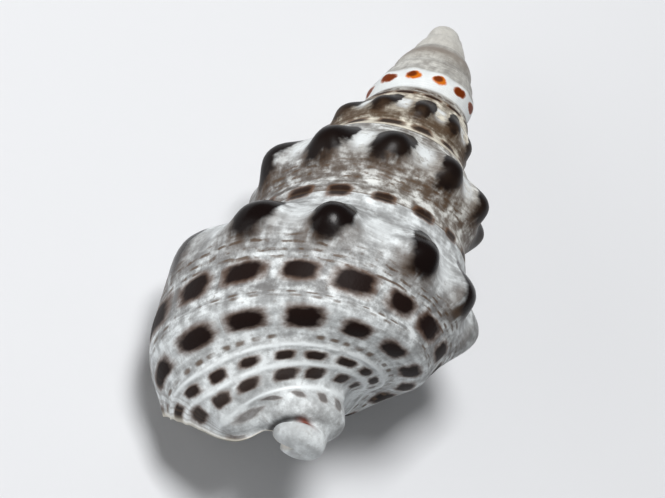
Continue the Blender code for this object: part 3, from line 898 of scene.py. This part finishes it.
# %% Orange spots
ORANGE_FIRST, ORANGE_COUNT = 3.165, 12.3              # first spot (turns), spots in a turn
ORANGE_PLACE, BURNT_PLACE, ORANGE_HALF = 0.59, 0.568, 0.085
STILL_ORANGE = (3.20, 3.22, 3.37, 3.39)               # turns, round the two bright spots
orange_band = between(2.95, 3.08, 3.75, 3.95, t)
orange_steps = (t - ORANGE_FIRST) * ORANGE_COUNT
orange_number = maths("ROUND", orange_steps)
orange_width = chance(orange_number, 82.0) * 0.10 + 0.24
orange_far = (((orange_steps - orange_number) / orange_width) ** 2
              + ((v - ORANGE_PLACE) / ORANGE_HALF) ** 2)
orange = 1 - ramp(0.65, 1.6, orange_far + (patches - 0.5) * 3.0)
burnt_far = (((orange_steps - orange_number + 0.07) / orange_width) ** 2
             + ((v - BURNT_PLACE) / ORANGE_HALF) ** 2)
burnt = most(1 - ramp(0.20, 0.85, burnt_far), 1 - between(*STILL_ORANGE, t))
colour = paint(colour, WHITE, orange_band * between(0.38, 0.48, 0.80, 0.88, v) * 0.75)
colour = paint(colour, ORANGE, orange_band * orange)
colour = paint(colour, BURNT, orange_band * orange * burnt * 0.9)

# %% Old seam, grey band and pale tip
old_seam = orange_band * hill(v - 0.94, 0.045)
colour = paint(colour, TAIL, old_seam * ramp(0.42, 0.56, mottle(30.0, 6.0, 85.0)))
colour = paint(colour, GREY, between(3.8, 4.05, 4.75, 5.0, t) * hill(v - 0.42, 0.26) * 0.85)
colour = paint(colour, TIP, ramp(4.7, 5.1, t) * 0.5)

# %% [markdown]
# The seams are thin brown lines. White is laid thinly over the end of the neck. Painted shade, a dark line,
# lies in its groove for a third of the way round, and ends in a small rusty stain. Fine growth lines stand
# close together at the lip, and its very edge is cream.

# %% Seam, neck, lip and mouth
GROOVE_PLACE = 2.455
LIP_LINE_STEP = 0.011                                 # turns
seam_line = (hill(v, 0.012) + hill(v - 1, 0.010) * on_spire) * ramp(4.7, 4.4, t)
colour = paint(colour, LINE, least(seam_line, 1.0) * ramp(0.9, 1.02, t + v) * 0.55)
colour = paint(colour, WHITE, ramp(2.40, 2.6, v) * 0.4)
groove = v - GROOVE_PLACE - ramp(0.26, 0.42, t) * 0.09
# Painted shade: a dark line along the groove between the neck and the end of the canal.
colour = paint(colour, CAP_AND_GROOVE_SHADE, hill(groove, 0.035) * (1 - ramp(0.30, 0.38, t)) * 0.85)
colour = paint(colour, STAIN, hill(t - 0.32, 0.06) * hill(groove - 0.03, 0.05))
lip_wave = sine(t * (2 * math.pi / LIP_LINE_STEP) + mottle(3.0, 5.0, 93.0) * 5.0) * 0.5 + 0.5
lip_lines = ramp(0.55, 0.85, lip_wave) * (1 - ramp(0.02, 0.07, t))
colour = paint(colour, LINE, lip_lines * between(0.3, 0.6, 2.0, 2.3, v) * 0.3)
colour = paint(colour, CREAM, hill(t, 0.006) * 0.8)
colour = paint(colour, INSIDE, inside_share)
plug(ink, shader.inputs["Base Color"], colour)

# %% [markdown]
# Lime is glossy when it is fresh, a little duller where sand has rubbed it. The inside and the caps are
# glossier than the ground, and the spots are duller. The finest lines are bump, and everything wider is in
# the mesh.

# %% Gloss and fine relief
GROUND_ROUGH, SPOT_ROUGH, CAP_ROUGH, INSIDE_ROUGH = 0.42, 0.60, 0.25, 0.22
SPECULAR = 0.13
BUMP_STRENGTH, BUMP_DEPTH = 0.35, 0.00008             # depth in metres
dark_cap = cap * up_spire * body_gap
rough = mix(mix(GROUND_ROUGH, SPOT_ROUGH, dark_spot), on_spire * 0.12 + CAP_ROUGH, dark_cap)
rough = rough + (clouds - 0.5) * 0.15
plug(ink, shader.inputs["Roughness"], mix(rough, INSIDE_ROUGH, inside_share))
shader.inputs["Specular IOR Level"].default_value = SPECULAR
growth_lines = noise(combine(t * 260.0, v * 5.0, t * 0 + 4.0), 1.0, 3.0)
relief = growth_lines * 0.15 + line_wave * line_band * 0.35 + fine * 0.7
relief = relief * (1 - inside_share) * (1 - dark_cap * 0.6)
bump = ink.nodes.new("ShaderNodeBump")
bump.inputs["Strength"].default_value = BUMP_STRENGTH
bump.inputs["Distance"].default_value = BUMP_DEPTH
plug(ink, bump.inputs["Height"], relief)
ink.links.new(bump.outputs["Normal"], shader.inputs["Normal"])
print("nodes in the finish:", len(ink.nodes))

# %% [markdown]
# ## From nodes to a plain mesh
# An empty mesh carries the tree as a modifier. Its result is copied out as a plain mesh, and the carrier
# is removed.


# %% Evaluate the tree
def grown_shell():
    seed = bpy.data.objects.new("seed", bpy.data.meshes.new("seed"))
    bpy.context.scene.collection.objects.link(seed)
    modifier = seed.modifiers.new("Grow", "NODES")
    modifier.node_group = tree
    for item in tree.interface.items_tree:
        if item.in_out == "INPUT" and item.name == "Material":
            modifier[item.identifier] = shell_lime
    depsgraph = bpy.context.evaluated_depsgraph_get()
    mesh = bpy.data.meshes.new_from_object(seed.evaluated_get(depsgraph), depsgraph=depsgraph)
    bpy.data.objects.remove(seed)
    mesh.name = "shell_skin"
    return mesh


skin = grown_shell()

# %% [markdown]
# The shell grew upright, in millimetres. It lies on its mouth: the direction that points up at rest is
# turned upwards, the tip points along +Y, and the whole is scaled to metres and set on the floor, in the
# middle of the CAD box.

# %% Lay it down
MM = 0.001                                            # in metres
REST_UP = Vector((0.2028, 0.9640, 0.1719)).normalized()
ahead = Vector((0, 0, -1))
ahead = (ahead - ahead.dot(REST_UP) * REST_UP).normalized()
side = ahead.cross(REST_UP)
lay_down = Matrix((side, ahead, REST_UP)).to_4x4()
skin.transform(Matrix.Scale(MM, 4) @ lay_down)
places = np.array([vertex.co for vertex in skin.vertices])
low, high = places.min(axis=0), places.max(axis=0)
slide = [(cad_low[k] + cad_high[k] - low[k] - high[k]) / 2 for k in (0, 1)] + [cad_low[2] - low[2]]
skin.transform(Matrix.Translation(slide))
print("shell in mm", [round(float(x) / MM, 2) for x in high - low])
print("slide in mm", [round(float(x) / MM, 3) for x in slide])

# %% Faces outwards
work = bmesh.new()
work.from_mesh(skin)
bmesh.ops.recalc_face_normals(work, faces=work.faces)
if work.calc_volume(signed=True) < 0:
    bmesh.ops.reverse_faces(work, faces=work.faces)
print("faces", len(work.faces), "open edges", sum(not e.is_manifold for e in work.edges))
work.to_mesh(skin)
work.free()
for face in skin.polygons:
    face.use_smooth = True

# %% The piece and what it stands for
shell = bpy.data.objects.new("shell_skin", skin)
bpy.context.scene.collection.objects.link(shell)
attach(shell, "root")
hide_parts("shell")

# %% [markdown]
# ## The studio
# The shell lies on a plain pale floor. A small light stands high above it, a little towards the lip and the
# tip. A large weak one fills in from the lip's side, and a faint white sky does the rest. The camera looks
# down on the back of the shell from the canal's end, through a long lens.

# %% The floor
FLOOR_REACH = 0.6
FLOOR_COLOUR = (0.75, 0.76, 0.78, 1)


def make_floor():
    mesh = bpy.data.meshes.new("floor")
    corners = [(-1, -1), (1, -1), (1, 1), (-1, 1)]
    mesh.from_pydata([(x * FLOOR_REACH, y * FLOOR_REACH, 0) for x, y in corners], [], [(0, 1, 2, 3)])
    floor = bpy.data.objects.new("floor", mesh)
    bpy.context.scene.collection.objects.link(floor)
    material = bpy.data.materials.new("pale_floor")
    material.use_nodes = True
    surface = material.node_tree.nodes["Principled BSDF"]
    surface.inputs["Base Color"].default_value = FLOOR_COLOUR
    surface.inputs["Roughness"].default_value = 0.9
    mesh.materials.append(material)
    floor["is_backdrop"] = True


make_floor()

# %% The camera
CAMERA_PLACE = (-0.027191, -0.07166, 0.151455)
CAMERA_TURN = (18.31, -20.43, 25.76)                  # degrees
CAMERA_LENS = 181.3
camera_data = bpy.data.cameras.new("camera")
camera_data.lens = CAMERA_LENS
camera_data.clip_start = 0.01
camera = bpy.data.objects.new("camera", camera_data)
camera.location = CAMERA_PLACE
camera.rotation_euler = [math.radians(angle) for angle in CAMERA_TURN]
bpy.context.scene.collection.objects.link(camera)
bpy.context.scene.camera = camera

# %% The lights and the sky
SHELL_MIDDLE = Vector((0, 0, 0.005))
SKY_STRENGTH = 0.16


def area_light(name, place, size, power):
    data = bpy.data.lights.new(name, "AREA")
    data.size = size
    data.energy = power
    lamp = bpy.data.objects.new(name, data)
    lamp.location = place
    lamp.rotation_euler = (SHELL_MIDDLE - Vector(place)).to_track_quat("-Z", "Y").to_euler()
    bpy.context.scene.collection.objects.link(lamp)


area_light("key", (-0.045, 0.02, 0.22), 0.06, 0.46)
area_light("fill", (-0.20, -0.10, 0.08), 0.2, 0.16)
world = bpy.data.worlds.new("studio")
world.use_nodes = True
sky = world.node_tree.nodes["Background"]
sky.inputs[0].default_value = (1, 1, 1, 1)
sky.inputs[1].default_value = SKY_STRENGTH
bpy.context.scene.world = world
bpy.context.scene.view_settings.view_transform = "Standard"

# %% Sizes and the end
low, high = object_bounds()
